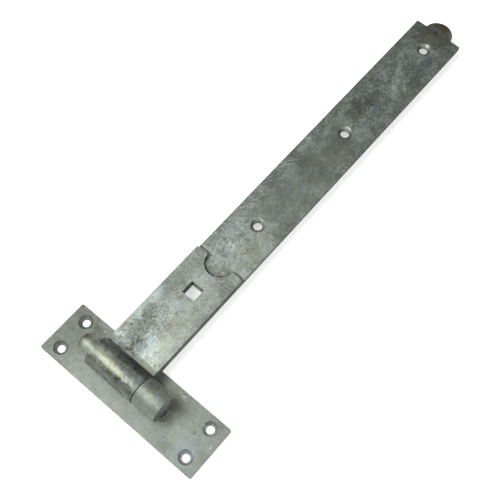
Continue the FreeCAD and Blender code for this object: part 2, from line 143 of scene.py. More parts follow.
@dataclass(frozen=True)
class Patch:
    """One place on the coat with a mark, as an ellipsoid in millimetres of the row frame.

    Attributes:
        mark: What is found there.
        at: Middle of the patch.
        half: Half sizes along its own axes.
        strength: How much of the mark shows; a negative tone is darker.
        turn: Turn about the vertical, in degrees.
    """

    mark: Mark
    at: Point
    half: Point
    strength: float = 1.0
    turn: float = 0.0


@dataclass(frozen=True)
class Grain:
    """One layer of noise.

    Attributes:
        size: Its largest features, in millimetres.
        detail: Finer octaves.
        rough: Share of the finer octaves.
        drawn: How many times longer than wide its features are.
        turn: Direction in which they are drawn out, in degrees about the vertical.
        span: Noise levels from which a mask made of it rises and at which it is whole.
    """

    size: float
    detail: float
    rough: float
    drawn: float = 1.0
    turn: float = 0.0
    span: Span = (0.0, 1.0)


@dataclass(frozen=True)
class Term:
    """One shader value that takes part in Python arithmetic.

    Attributes:
        recipe: The recipe whose tree holds it.
        socket: The output socket that it stands for, if its node has one.
    """

    recipe: "Recipe"
    socket: bpy.types.NodeSocket | None

    def _math(self, operation: str, first: "Amount", second: "Amount") -> "Term":
        """Add one Math node."""
        return self.recipe.node("ShaderNodeMath", {"operation": operation}, {0: first, 1: second})

    def __add__(self, other: "Amount") -> "Term":
        """Sum."""
        return self._math("ADD", self, other)

    __radd__ = __add__

    def __sub__(self, other: "Amount") -> "Term":
        """Difference."""
        return self._math("SUBTRACT", self, other)

    def __rsub__(self, other: "Amount") -> "Term":
        """Difference from a number."""
        return self._math("SUBTRACT", other, self)

    def __mul__(self, other: "Amount") -> "Term":
        """Product."""
        return self._math("MULTIPLY", self, other)

    __rmul__ = __mul__

    def __abs__(self) -> "Term":
        """Size without sign."""
        return self._math("ABSOLUTE", self, 0.0)

    def ramp(self, low: float, high: float) -> "Term":
        """Rise smoothly from 0 at low to 1 at high; low may be the larger.

        Args:
            low: Value that gives 0.
            high: Value that gives 1.

        Returns:
            The mask.
        """
        if low > high:
            return 1 - self.ramp(high, low)
        inputs = {"Value": self, "From Min": low, "From Max": high}
        return self.recipe.node("ShaderNodeMapRange", {"interpolation_type": "SMOOTHSTEP"}, inputs)

    def wave(self, pitch: float) -> "Term":
        """Swing between -1 and 1 once in each pitch."""
        return self._math("SINE", self * (math.tau / pitch), 0.0)


Amount = Term | float


class Recipe:
    """Node tree of one material, and the one place where nodes are added."""

    def __init__(self, name: str) -> None:
        """Start an empty material.

        Args:
            name: The material's name.
        """
        self.material = bpy.data.materials.new(name)
        self.material.use_nodes = True
        self.tree = self.material.node_tree
        self.tree.nodes.clear()

    def node(
        self,
        kind: str,
        settings: Mapping[str, Any] | None = None,
        inputs: Mapping[str | int, Any] | None = None,
        output: str | int = 0,
    ) -> Term:
        """Add one node: its settings first, then the values and links of its sockets.

        Args:
            kind: The node's type.
            settings: Its own properties.
            inputs: Socket name or number to a value or a term.
            output: The output that the returned term stands for.

        Returns:
            The chosen output.
        """
        made = self.tree.nodes.new(kind)
        for key, value in (settings or {}).items():
            if key == "stops":
                self._set_stops(made.color_ramp, value)
            else:
                setattr(made, key, value)
        for key, value in (inputs or {}).items():
            if isinstance(value, Term):
                self.tree.links.new(value.socket, made.inputs[key])
            else:
                made.inputs[key].default_value = value
        return Term(self, made.outputs[output] if made.outputs else None)

    @staticmethod
    def _set_stops(ramp: bpy.types.ColorRamp, colours: Sequence[Colour]) -> None:
        """Give a ramp its colours, evenly spaced.

        Args:
            ramp: The ramp, which has two stops.
            colours: Two or more colours, from its start to its end.
        """
        last = len(colours) - 1
        while len(ramp.elements) <= last:
            ramp.elements.new(1.0)
        for place, colour in enumerate(colours):
            ramp.elements[place].position = place / last
            ramp.elements[place].color = colour

    def place(self) -> Term:
        """Surface point in millimetres of the row frame, moving with the piece."""
        point = self.node("ShaderNodeTexCoord", output="Object")
        return self.node("ShaderNodeVectorMath", {"operation": "SCALE"}, {0: point, "Scale": 1 / MM})

    def part(self, vector: Term, axis: Axis) -> Term:
        """One axis of a vector."""
        return self.node("ShaderNodeSeparateXYZ", None, {0: vector}, axis.value)

    def length(self, vector: Term) -> Term:
        """Length of a vector."""
        return self.node("ShaderNodeVectorMath", {"operation": "LENGTH"}, {0: vector}, "Value")

    def facing(self, axis: Axis) -> Term:
        """Part of the surface's own normal along one axis of the piece."""
        return self.part(self.node("ShaderNodeTexCoord", output="Normal"), axis)

    def local(self, at: Term, origin: Point, turn: float, unit: Point) -> Term:
        """Give coordinates in a frame of their own.

        Args:
            at: Surface point in millimetres.
            origin: The new origin, in millimetres.
            turn: Turn of the new frame about the vertical, in degrees.
            unit: Length of one unit along each new axis, in millimetres.

        Returns:
            The new coordinates.
        """
        inputs = {
            "Vector": at, "Location": origin, "Rotation": (0, 0, math.radians(turn)), "Scale": unit,
        }
        return self.node("ShaderNodeMapping", {"vector_type": "TEXTURE"}, inputs)

    def noise(self, at: Term, grain: Grain) -> Term:
        """Add one layer of noise, from 0 to 1.

        Args:
            at: Surface point in millimetres.
            grain: The layer's sizes.

        Returns:
            The noise.
        """
        unit = (grain.size * grain.drawn, grain.size, grain.size)
        inputs = {
            "Vector": self.local(at, (0, 0, 0), grain.turn, unit),
            "Scale": 1.0, "Detail": grain.detail, "Roughness": grain.rough,
        }
        return self.node("ShaderNodeTexNoise", None, inputs)

    def mask(self, at: Term, grain: Grain) -> Term:
        """Mask that rises over the span of one layer of noise."""
        return self.noise(at, grain).ramp(*grain.span)

    def blend(self, amount: Amount, first: Term | Colour, second: Term | Colour) -> Term:
        """Mix of two colours, from the first at 0 to the second at 1."""
        inputs = {MixSocket.AMOUNT: amount, MixSocket.FIRST: first, MixSocket.SECOND: second}
        return self.node("ShaderNodeMix", {"data_type": "RGBA"}, inputs, MixSocket.MIXED)

    def finish(self, **sockets: Any) -> bpy.types.Material:
        """Close the recipe with its shader.

        Args:
            **sockets: Shader sockets by name, with _ for a space.

        Returns:
            The material.
        """
        inputs = {key.replace("_", " "): value for key, value in sockets.items()}
        shader = self.node("ShaderNodeBsdfPrincipled", None, inputs)
        self.node("ShaderNodeOutputMaterial", None, {"Surface": shader})
        return self.material


@dataclass(frozen=True)
class SawnArcs:
    """Faint arcs left on a sawn end face that looks along Y.

    Attributes:
        centre: Their middle, in millimetres of the row frame.
        pitch: Distance from arc to arc, in millimetres.
        strength: Change of tone from arc to arc.
        unit: Units along the axes; the long one leaves Y out of the arcs' radius.
    """

    centre: Point
    pitch: float = 1.5
    strength: float = 0.1
    unit: Point = (1.0, 1e6, 1.0)

    def tone(self, recipe: Recipe, at: Term) -> Term:
        """Change of tone over the arcs."""
        radius = recipe.length(recipe.local(at, self.centre, 0.0, self.unit))
        return radius.wave(self.pitch) * self.strength


@dataclass(frozen=True)
class Layers:
    """What the coat's colour, gloss and relief are made of, over the surface.

    Attributes:
        at: Surface point in millimetres of the row frame.
        clouds: Large clouds, about 0.
        flakes: Ragged flakes, about 0.
        specks: Fine speckle, about 0.
        hairs: Hairlines, about 0.
        side: 1 on sheared faces and 0 elsewhere.
        scuffs: Bright scratches.
        rust: How rusty it is.
        marks: How much of each mark there is.
    """

    at: Term
    clouds: Term
    flakes: Term
    specks: Term
    hairs: Term
    side: Term
    scuffs: Term
    rust: Term
    marks: Mapping[Mark, Amount]


@dataclass(frozen=True)
class Shares:
    """How much each layer adds to one property of the coat.

    Attributes:
        clouds: Share of the clouds.
        flakes: Share of the flakes.
        specks: Share of the speckle.
        side: Share of the sheared faces.
        scuffs: Share of the scratches.
        rust: Share of the rust.
    """

    clouds: float = 0.0
    flakes: float = 0.0
    specks: float = 0.0
    side: float = 0.0
    scuffs: float = 0.0
    rust: float = 0.0

    def of(self, layers: Layers) -> Amount:
        """Sum of the layers that have a share."""
        return sum(getattr(layers, name) * share for name, share in vars(self).items() if share)


@dataclass(frozen=True)
class Galvanised:
    """Hot-dip zinc: cloudy grey with ragged flakes, speckle, hairlines and dull sheared faces with painted shade.

    Attributes:
        name: The material's name.
        deep: Darkest zinc.
        middle: Plain zinc.
        pale: Brightest zinc.
        film: Brownish film.
        cool: Bluish zinc.
        straw: Straw-coloured zinc.
        rust: Rust.
        rim: Colour that the metal's reflections take where they graze it.
        clouds: Layer of large clouds.
        flakes: Layer of ragged flakes.
        specks: Layer of fine speckle.
        tints: Layer that drifts from straw to blue.
        fray: Layer that breaks up the marks' borders.
        falling: Layer of hairlines that fall towards the tip.
        rising: Layer of hairlines that rise towards the tip.
        sweeps: Layer that says which of the two shows.
        straw_span: Levels of the drift at which straw starts and is whole.
        cool_span: Levels of the drift at which blue starts and is whole.
        scuff_span: Levels of the falling hairlines at which a scratch starts and is whole.
        rust_span: Levels of the speckle at which rust starts and is whole.
        side_span: Parts of the normal at which a sheared face starts and is whole.
        sheared: Axis whose faces are sheared edges.
        tone: Plain tone, from 0 for the darkest to 1 for the brightest.
        heel_gain: Extra tone near the pin's axis, painted light that brightens the zinc towards the eye.
        fade: Where the extra tone has gone and where it is whole along X, in millimetres.
        side_shade: Loss of tone on sheared faces, which paints shade on them.
        cloudy: Strength of the clouds.
        flaky: Strength of the flakes.
        speckle: Strength of the speckle.
        hairline: Strength of the hairlines.
        tinted: Strength of the drift in colour.
        scuff_gain: Tone that a scratch adds.
        relief: Height of the skin's grain in millimetres.
        raising: What that grain is made of.
        bump: Strength of the grain's shading.
        roughness: Roughness of plain zinc.
        dulling: What adds to the roughness.
        metallic: Share of bare metal.
        rust_loss: Share of bare metal lost under rust.
        arcs: Arcs on a sawn end face, if it has any.
        patches: Marks in places.
    """

    name: str
    deep: Colour = shade(58, 59, 54)
    middle: Colour = shade(122, 128, 120)
    pale: Colour = shade(198, 210, 205)
    film: Colour = shade(88, 82, 60)
    cool: Colour = shade(122, 134, 148)
    straw: Colour = shade(150, 150, 116)
    rust: Colour = shade(58, 48, 28)
    rim: Colour = shade(150, 150, 150)
    clouds: Grain = Grain(size=20.0, detail=6.0, rough=0.62, span=(0.34, 0.66))
    flakes: Grain = Grain(size=7.0, detail=8.0, rough=0.72, span=(0.42, 0.58))
    specks: Grain = Grain(size=2.0, detail=4.0, rough=0.75)
    tints: Grain = Grain(size=9.0, detail=4.0, rough=0.65)
    fray: Grain = Grain(size=5.0, detail=8.0, rough=0.72)
    falling: Grain = Grain(size=0.8, detail=2.0, rough=0.5, drawn=14.0, turn=-37.0)
    rising: Grain = Grain(size=0.9, detail=2.0, rough=0.5, drawn=16.0, turn=31.0)
    sweeps: Grain = Grain(size=34.0, detail=2.0, rough=0.5, span=(0.44, 0.56))
    straw_span: Span = (0.5, 0.7)
    cool_span: Span = (0.5, 0.3)
    scuff_span: Span = (0.58, 0.68)
    rust_span: Span = (-0.14, 0.06)
    side_span: Span = (0.55, 0.9)
    sheared: Axis = Axis.Y
    tone: float = 0.5
    heel_gain: float = 0.0
    fade: Span = (300.0, 60.0)
    side_shade: float = 0.2
    cloudy: float = 0.11
    flaky: float = 0.09
    speckle: float = 0.6
    hairline: float = 0.24
    tinted: float = 0.16
    scuff_gain: float = 0.5
    relief: float = 0.06
    raising: Shares = Shares(clouds=1.5, flakes=0.6, specks=2.0, scuffs=1.0)
    bump: float = 0.8
    roughness: float = 0.46
    dulling: Shares = Shares(clouds=0.1, specks=0.25, side=0.1, rust=0.25)
    metallic: float = 0.85
    rust_loss: float = 0.75
    arcs: SawnArcs | None = None
    patches: Sequence[Patch] = ()

    def make(self) -> bpy.types.Material:
        """Build the material.

        Returns:
            The material.
        """
        recipe = Recipe(self.name)
        layers = self._layers(recipe)
        skin = {
            "Strength": self.bump, "Distance": self.relief * MM, "Height": self.raising.of(layers),
        }
        return recipe.finish(
            Base_Color=self._colour(recipe, layers),
            Roughness=self.dulling.of(layers) + self.roughness,
            Metallic=self.metallic - layers.rust * self.rust_loss,
            Specular_Tint=self.rim,
            Normal=recipe.node("ShaderNodeBump", None, skin),
        )

    def _layers(self, recipe: Recipe) -> Layers:
        """Lay out the noise, the sheared faces and the marks.

        Args:
            recipe: The recipe to add to.

        Returns:
            The layers.
        """
        at = recipe.place()
        fray = recipe.noise(at, self.fray)
        marks = {mark: self._spread(recipe, at, mark, fray) for mark in Mark}
        specks = recipe.noise(at, self.specks) - NOISE_MIDDLE
        falling = recipe.noise(at, self.falling)
        rising = recipe.noise(at, self.rising)
        sweep = recipe.mask(at, self.sweeps)
        return Layers(
            at=at,
            clouds=recipe.mask(at, self.clouds) - NOISE_MIDDLE,
            flakes=recipe.mask(at, self.flakes) - NOISE_MIDDLE,
            specks=specks,
            hairs=falling * sweep + rising * (1 - sweep) - NOISE_MIDDLE,
            side=abs(recipe.facing(self.sheared)).ramp(*self.side_span),
            scuffs=marks[Mark.SCUFF] * falling.ramp(*self.scuff_span),
            rust=marks[Mark.RUST] * specks.ramp(*self.rust_span),
            marks=marks,
        )

    def _spread(self, recipe: Recipe, at: Term, mark: Mark, fray: Term) -> Amount:
        """Say how much of one mark lies at each point, summed over its patches.

        Args:
            recipe: The recipe to add to.
            at: Surface point in millimetres.
            mark: The kind of mark.
            fray: Noise that breaks up the patches' borders.

        Returns:
            The sum of the patches' strengths, or 0 where the coat has no such mark.
        """
        border = CRISP if mark in CRISP_MARKS else SOFT
        whole: Amount = 0.0
        for patch in self.patches:
            if patch.mark is mark:
                reach = recipe.length(recipe.local(at, patch.at, patch.turn, patch.half))
                reach = reach + (fray - NOISE_MIDDLE) * border.ragged
                whole = reach.ramp(border.outer, border.inner) * patch.strength + whole
        return whole

    def _tone(self, recipe: Recipe, layers: Layers) -> Term:
        """Work out how pale the zinc is.

        Args:
            recipe: The recipe to add to.
            layers: The coat's layers.

        Returns:
            The tone, from 0 for the darkest zinc to 1 for the brightest.
        """
        mottle = layers.clouds * self.cloudy + layers.flakes * self.flaky
        grainy = layers.specks * (layers.marks[Mark.GRAIN] + self.speckle)
        tone = (mottle + grainy) * (1 - layers.marks[Mark.PLAIN]) + self.tone
        # Painted light: the zinc is brighter towards the eye.
        tone = tone + recipe.part(layers.at, Axis.X).ramp(*self.fade) * self.heel_gain
        # Painted shade on the sheared side faces.
        tone = tone + layers.hairs * self.hairline - layers.side * self.side_shade
        tone = tone + layers.marks[Mark.TONE] + layers.marks[Mark.FLAKE]
        tone = tone + layers.scuffs * self.scuff_gain
        if self.arcs:
            tone = tone + self.arcs.tone(recipe, layers.at) * layers.side
        return tone

    def _colour(self, recipe: Recipe, layers: Layers) -> Term:
        """Colour the zinc by its tone, then tint, film and rust it.

        Args:
            recipe: The recipe to add to.
            layers: The coat's layers.

        Returns:
            The colour.
        """
        stops = (self.deep, self.middle, self.pale)
        colour = recipe.node("ShaderNodeValToRGB", {"stops": stops}, {0: self._tone(recipe, layers)})
        drift = recipe.noise(layers.at, self.tints)
        straw = drift.ramp(*self.straw_span) * self.tinted + layers.marks[Mark.STRAW]
        cool = drift.ramp(*self.cool_span) * self.tinted + layers.marks[Mark.COOL]
        colour = recipe.blend(straw, colour, self.straw)
        colour = recipe.blend(cool, colour, self.cool)
        colour = recipe.blend(layers.marks[Mark.WARM], colour, self.film)
        return recipe.blend(layers.rust, colour, self.rust)


@dataclass(frozen=True)
class PalePaint:
    """Plain pale floor that glows a little.

    Attributes:
        name: The material's name.
        tone: How pale it is.
        glow: Light that it gives by itself.
        roughness: Its roughness.
    """

    name: str = "pale_floor"
    tone: float = 0.9
    glow: float = 0.5
    roughness: float = 0.8

    def make(self) -> bpy.types.Material:
        """Build the material.

        Returns:
            The material.
        """
        pale = (self.tone, self.tone, self.tone, 1.0)
        return Recipe(self.name).finish(
            Base_Color=pale, Roughness=self.roughness, Emission_Color=pale, Emission_Strength=self.glow
        )


def ease_edges(piece: bpy.types.Object, width: float, steps: int = 3) -> None:
    """Join the solid's faces and round its sharp edges a little.

    Args:
        piece: The solid.
        width: Width of the rounded edge in millimetres.
        steps: Faces across it.
    """
    weld = piece.modifiers.new("join_faces", "WELD")
    weld.merge_threshold = JOIN_GAP
    bevel = piece.modifiers.new("eased_edges", "BEVEL")
    bevel.width = width * MM
    bevel.segments = steps
    bevel.limit_method = "ANGLE"
    bevel.angle_limit = SHARP_ANGLE
    bevel.harden_normals = True


def put_on(piece: bpy.types.Object, material: bpy.types.Material) -> None:
    """Give a piece one material on every face."""
    piece.data.materials.clear()
    piece.data.materials.append(material)


def hand_over(name: str, mesh: bmesh.types.BMesh) -> bpy.types.Object:
    """Turn a finished mesh into a smooth object in the scene.

    Args:
        name: The object's name.
        mesh: The mesh, which is freed.

    Returns:
        The new object.
    """
    for face in mesh.faces:
        face.smooth = True
    data = bpy.data.meshes.new(name)
    mesh.to_mesh(data)
    mesh.free()
    made = bpy.data.objects.new(name, data)
    bpy.context.scene.collection.objects.link(made)
    return made


def closed_sweep(name: str, rings: Sequence[Sequence[Vector]]) -> bpy.types.Object:
    """Join rings of points into one closed tube that ends where it starts.

    Args:
        name: The object's name.
        rings: Points round each station.

    Returns:
        The new object.
    """
    mesh = bmesh.new()
    rows = [[mesh.verts.new(point) for point in ring] for ring in rings]
    for this, following in zip(rows, rows[1:] + rows[:1]):
        for side in range(len(this)):
            other = (side + 1) % len(this)
            mesh.faces.new((this[side], following[side], following[other], this[other]))
    bmesh.ops.recalc_face_normals(mesh, faces=mesh.faces)
    return hand_over(name, mesh)


def rectangle_path(half_x: float, half_y: float, step: float) -> list[tuple[Vector, Vector]]:
    """Walk round a rectangle, with the way out at each point.

    Args:
        half_x: Half size along X.
        half_y: Half size along Y.
        step: Distance from point to point.

    Returns:
        Point and outward direction, counter-clockwise; corners turn in three steps.
    """
    corners = [Vector((half_x, y, 0)) for y in (-half_y, half_y)]
    corners += [-corner for corner in corners]
    stations: list[tuple[Vector, Vector]] = []
    for start, end in zip(corners, corners[1:] + corners[:1]):
        along = (end - start).normalized()
        outward = Vector((along.y, -along.x, 0))
        for turn in CORNER_TURNS:
            stations.append((start, Matrix.Rotation(turn, 3, "Z") @ outward))
        count = max(1, round((end - start).length / step))
        for point in range(count + 1):
            stations.append((start.lerp(end, point / count), outward))
    return stations


@dataclass(frozen=True)
class Band:
    """The folded strip with its eye, dressed in mottled zinc.

    Lengths are in millimetres, and distances along the strip start at the eye's axis.

    Attributes:
        node: Its solid.
        axis: A point on the eye's axis.
        back: Height of the long leaf's back.
        front: Height of the return leaf's front.
        holes: The countersunk holes' distances along the strip.
        edge_round: Width of its eased edges.
        skin: How far a mark reaches up and down from its face.
        whole: Reach of a mark that goes right round the eye.
        crease: Middle of the painted highlight line where the leaf starts, from the axis.
        return_start: Where the return leaf's front starts.
        return_end: Where the bite in its end starts.
        shoulder: Middle of a shoulder of that end, along the strip and from its middle line.
        bite: Middle of the bite, along the strip.
        bite_rim: Radius of the painted shadow line round the bite.
        bite_shadow_angles: Where that line is painted, in degrees from the way to the tip.
        hole_shade_at: Middle of the painted shade in a hole, from the hole's own middle.
    """

    node: bpy.types.Object
    axis: Vector
    back: float
    front: float
    holes: Sequence[float]
    edge_round: float = 0.45
    skin: float = 3.2
    whole: float = 60.0
    crease: Point = (12.2, 9.0, 5.0)
    return_start: float = 12.5
    return_end: float = 110.0
    shoulder: Pair = (125.0, 18.5)
    bite: float = 122.5
    bite_rim: float = 11.6
    bite_shadow_angles: Sequence[int] = range(150, 271, 15)
    hole_shade_at: Pair = (-2.5, -1.0)

    def spot(
        self, mark: Mark, along: float, across: float, half: Pair, strength: float = 1.0, turn: float = 0.0
    ) -> Patch:
        """Place one mark on the strip.

        Args:
            mark: What is found there.
            along: Distance from the eye's axis towards the tip.
            across: Distance from the middle line.
            half: Half sizes along and across.
            strength: How much of the mark shows.
            turn: Turn about the vertical, in degrees.

        Returns:
            The patch in the row frame.
        """
        if along < self.return_start:
            height, depth = self.axis.z, self.whole
        elif along < self.return_end:
            height, depth = self.front, self.skin
        else:
            height, depth = (self.back + self.front) / 2, self.skin
        middle = (self.axis.x + along, self.axis.y + across, height)
        return Patch(mark, middle, (*half, depth), strength, turn)

    def eye_marks(self) -> list[Patch]:
        """Paint shade that dulls the eye and darkens its crease where the leaf starts, a highlight line in that
        crease, and bluish, straw-coloured and grainy zinc.

        Returns:
            The patches.
        """
        line = tuple(self.axis + Vector(self.crease))
        return [
            # A painted highlight line in the crease, then painted shade that dims the eye's lower flank, its
            # highlight and its crease side, and darkens the leaf beside the crease.
            Patch(Mark.TONE, line, (0.7, 17.0, 3.0), 0.5),
            self.spot(Mark.TONE, -10.5, 0, (4.5, 60), -0.32),
            self.spot(Mark.TONE, -3, 0, (6, 60), -0.3),
            self.spot(Mark.TONE, 9, 0, (4.4, 60), -0.4),
            self.spot(Mark.TONE, 16, 0, (3.4, 60), -0.25),
            self.spot(Mark.COOL, 9, 8, (4, 20), 0.1),
            self.spot(Mark.STRAW, -2, 12, (10, 16), 0.19),
            self.spot(Mark.GRAIN, 0, 0, (12, 30), 0.5),
        ]

    def return_leaf_marks(self) -> list[Patch]:
        """Mark ragged dark flakes and bluish frost near the eye, plainer towards the bite.

        Returns:
            The patches.
        """
        return [
            self.spot(Mark.GRAIN, 37, 9, (32, 16), 0.9),
            self.spot(Mark.FLAKE, 34, 11, (20, 9), -0.17),
            self.spot(Mark.FLAKE, 24, 2, (8, 7), -0.14),
            self.spot(Mark.FLAKE, 52, 14, (8, 6), -0.1),
            self.spot(Mark.FLAKE, 30, -6, (11, 6), 0.16),
            self.spot(Mark.COOL, 28, -4, (16, 9), 0.22),
            self.spot(Mark.COOL, 64, 18, (20, 6), 0.1),
            self.spot(Mark.TONE, 21, 16, (7, 9), 0.12),
            self.spot(Mark.TONE, 25, -14, (7, 9), 0.1),
            self.spot(Mark.TONE, 58, 21, (22, 5), 0.1),
            self.spot(Mark.TONE, 42, -18, (30, 7), 0.08),
            self.spot(Mark.STRAW, 50, -14, (40, 12), 0.17),
            self.spot(Mark.FLAKE, 21, -20, (1.3, 0.8), -0.35),
            self.spot(Mark.FLAKE, 24, -22.5, (0.7, 1.3), -0.35),
            self.spot(Mark.FLAKE, 65, -3, (1.6, 0.8), -0.22),
            self.spot(Mark.TONE, 103, -4, (12, 20), 0.04),
        ]

    def step_marks(self) -> list[Patch]:
        """Paint shadow on the long leaf, along the return leaf's shoulders and round its bite.

        Returns:
            The patches.
        """
        along, across = self.shoulder
        # Painted shadow where the return leaf's step casts shade on the long leaf.
        marks = [self.spot(Mark.TONE, along, side * across, (2.0, 8.5), -0.4) for side in (-1, 1)]
        for angle in self.bite_shadow_angles:
            out = Matrix.Rotation(math.radians(angle), 2) @ Vector((self.bite_rim, 0))
            marks.append(self.spot(Mark.TONE, self.bite + out.x, out.y, (1.7, 2.6), -0.34, angle))
        return marks

    def hole_marks(self) -> list[Patch]:
        """Paint shade in the countersinks, on the side away from the tip."""
        # Painted shade on the countersink wall that faces away from the light.
        along, across = self.hole_shade_at
        return [self.spot(Mark.TONE, hole + along, across, (5, 6.5), -0.28) for hole in self.holes]

    def middle_marks(self) -> list[Patch]:
        """Mark lighter zinc past the bite, then plain grey with scratches along one edge.

        Returns:
            The patches.
        """
        return [
            self.spot(Mark.GRAIN, 150, 8, (34, 20), 0.6),
            self.spot(Mark.STRAW, 150, -12, (26, 12), 0.28),
            self.spot(Mark.COOL, 150, 14, (24, 10), 0.19),
            self.spot(Mark.FLAKE, 152, 5, (6, 4), -0.14),
            self.spot(Mark.TONE, 147, -2, (28, 26), 0.14),
            self.spot(Mark.PLAIN, 235, -3, (66, 24), 0.65),
            self.spot(Mark.SCUFF, 188, 19, (26, 6)),
            self.spot(Mark.SCUFF, 228, 18, (30, 6)),
            self.spot(Mark.SCUFF, 268, 21, (22, 4), 0.8),
            self.spot(Mark.TONE, 250, 9, (10, 7), -0.1),
            self.spot(Mark.TONE, 280, -4, (17, 9), -0.08),
            self.spot(Mark.FLAKE, 237, 3, (2.6, 0.5), -0.2, 60),
            self.spot(Mark.FLAKE, 306, -11, (9, 7), 0.12),
        ]

    def tip_marks(self) -> list[Patch]:
        """Mark dark ragged flakes, slanting pale streaks and a brownish lobe.

        Returns:
            The patches.
        """
        return [
            self.spot(Mark.GRAIN, 362, 0, (70, 24), 0.8),
            self.spot(Mark.FLAKE, 328, 8, (16, 9), -0.14),
            self.spot(Mark.FLAKE, 345, 2, (14, 6), -0.12),
            self.spot(Mark.FLAKE, 337, -9, (12, 4), -0.12),
            self.spot(Mark.FLAKE, 385, -16, (14, 5), -0.12),
            self.spot(Mark.FLAKE, 373, 12, (7, 4), 0.16),
            self.spot(Mark.COOL, 372, 13, (12, 6), 0.22),
            self.spot(Mark.COOL, 408, -13, (14, 7), 0.16),
            self.spot(Mark.COOL, 340, -6, (12, 6), 0.17),
            self.spot(Mark.TONE, 370, -4, (44, 5), 0.1, 26),
            self.spot(Mark.TONE, 405, 14, (24, 4), 0.08, 26),
            self.spot(Mark.FLAKE, 408, -12, (9, 5), -0.14),
            self.spot(Mark.FLAKE, 424, -10, (5, 4), 0.12),
            self.spot(Mark.FLAKE, 427, 16, (1.4, 1.2), -0.3),
            self.spot(Mark.FLAKE, 446, 3, (3, 2), -0.3),
            self.spot(Mark.TONE, 446, 0, (18, 26), -0.08),
            self.spot(Mark.WARM, 446, 0, (20, 24), 0.4),
            self.spot(Mark.WARM, 458, 0, (7, 16), 0.5),
        ]

    def dress(self) -> None:
        """Ease the edges and give the strip its coat."""
        ease_edges(self.node, self.edge_round)
        marks = self.eye_marks() + self.return_leaf_marks() + self.step_marks()
        marks += self.hole_marks() + self.middle_marks() + self.tip_marks()
        coat = Galvanised("band_zinc_coat", tone=0.52, heel_gain=0.04, side_shade=0.32, patches=marks)
        put_on(self.node, coat.make())
        log.info("band: strip with eye, dressed with %d marks", len(marks))


@dataclass(frozen=True)
class WeldBead:
    """Rippled bead laid round the strap's tails, where the plain collar is.

    Attributes:
        low: The collar's lowest corner, in metres.
        high: The collar's highest corner, in metres.
        spacing: Distance from ring to ring along the bead, in millimetres.
        uneven: Share by which the bead swells and shrinks.
        swells: Noise cells in a millimetre of its length.
        ripple: Share by which a ripple swells it.
        ripple_turn: Turn of the ripples from ring to ring, in radians.
        least: Its smallest size, as a share of the collar's height.
        most: Its largest size, as a share of the collar's height.
        fullness: How full its face is; 1 is a quarter of a circle.
        face_steps: Steps over that face.
        into_tails: How far it reaches into the tails, in millimetres.
        into_plate: How far it reaches into the plate, in millimetres.
    """

    low: Vector
    high: Vector
    spacing: float = 0.35
    uneven: float = 0.35
    swells: float = 0.9
    ripple: float = 0.12
    ripple_turn: float = 0.9
    least: float = 0.55
    most: float = 1.25
    fullness: float = 0.86
    face_steps: int = 6
    into_tails: float = 0.1
    into_plate: float = 0.05

    def build(self, name: str) -> bpy.types.Object:
        """Make the bead.

        Args:
            name: The object's name.

        Returns:
            The bead, in place.
        """
        leg = self.high.z - self.low.z
        half = (self.high - self.low) / 2
        foot = self.low + Vector((half.x, half.y, 0))
        rings: list[list[Vector]] = []
        stations = rectangle_path(half.x - leg, half.y - leg, self.spacing * MM)
        for number, (point, outward) in enumerate(stations):
            ring = self._ring(point, outward, leg * self._size(number, point))
            rings.append([corner + foot for corner in ring])
        return closed_sweep(name, rings)

    def _size(self, number: int, point: Vector) -> float:
        """Say how large the bead is at one ring.

        Args:
            number: The ring's number.
            point: Its place on the tails' outline, in metres.

        Returns:
            The size as a share of the collar's height.
        """
        swell = self.uneven * noise.noise(point / MM * self.swells)
        ripple = self.ripple * math.sin(number * self.ripple_turn)
        return min(self.most, max(self.least, 1 + swell + ripple))

    def _ring(self, point: Vector, outward: Vector, size: float) -> list[Vector]:
        """Give the corners of one ring.

        Args:
            point: Its place on the tails' outline, in metres.
            outward: The way out from the tails.
            size: The bead's size there, in metres.

        Returns:
            The corners, from the foot of the tails over the face to the plate.
        """
        wall = point - outward * self.into_tails * MM
        sunk = Vector((0, 0, -self.into_plate * MM))
        ring = [wall + sunk, wall + Vector((0, 0, size))]
        for step in range(1, self.face_steps):
            angle = math.pi / 2 * step / self.face_steps
            face = outward * math.sin(angle) + Vector((0, 0, math.cos(angle)))
            ring.append(point + face * self.fullness * size)
        ring.append(point + outward * size + sunk)
        return ring


@dataclass(frozen=True)
class Lump:
    """One flat uneven lump of zinc left on the plate by the dip, in millimetres.

    Attributes:
        at: Its place on the plate's front.
        half: Half sizes along X and Y and its height.
        turn: Turn about the vertical, in degrees.
        fineness: Times that its faces are divided.
        uneven: Share by which it swells and shrinks.
        swells: Noise cells over its half size.
        apart: Step in the noise from one lump to the next.
    """

    at: Pair
    half: Point
    turn: float
    fineness: int = 4
    uneven: float = 0.35
    swells: float = 1.2
    apart: float = 7.0

    def build(self, number: int, top: float) -> bpy.types.Object:
        """Make the lump.

        Args:
            number: Its number, which gives it a name and a form of its own.
            top: Height of the plate's front.

        Returns:
            The lump, in place.
        """
        mesh = bmesh.new()
        bmesh.ops.create_icosphere(mesh, subdivisions=self.fineness, radius=1.0)
        start = Vector((number * self.apart, 0, 0))
        for corner in mesh.verts:
            swell = 1 + self.uneven * noise.noise(corner.co * self.swells + start)
            corner.co = Vector([c * h * swell * MM for c, h in zip(corner.co, self.half)])
        spin = Matrix.Rotation(math.radians(self.turn), 4, "Z")
        place = Matrix.Translation(Vector((*self.at, top)) * MM)
        bmesh.ops.transform(mesh, matrix=place @ spin, verts=mesh.verts)
        return hand_over(f"zinc_lump_{number}", mesh)


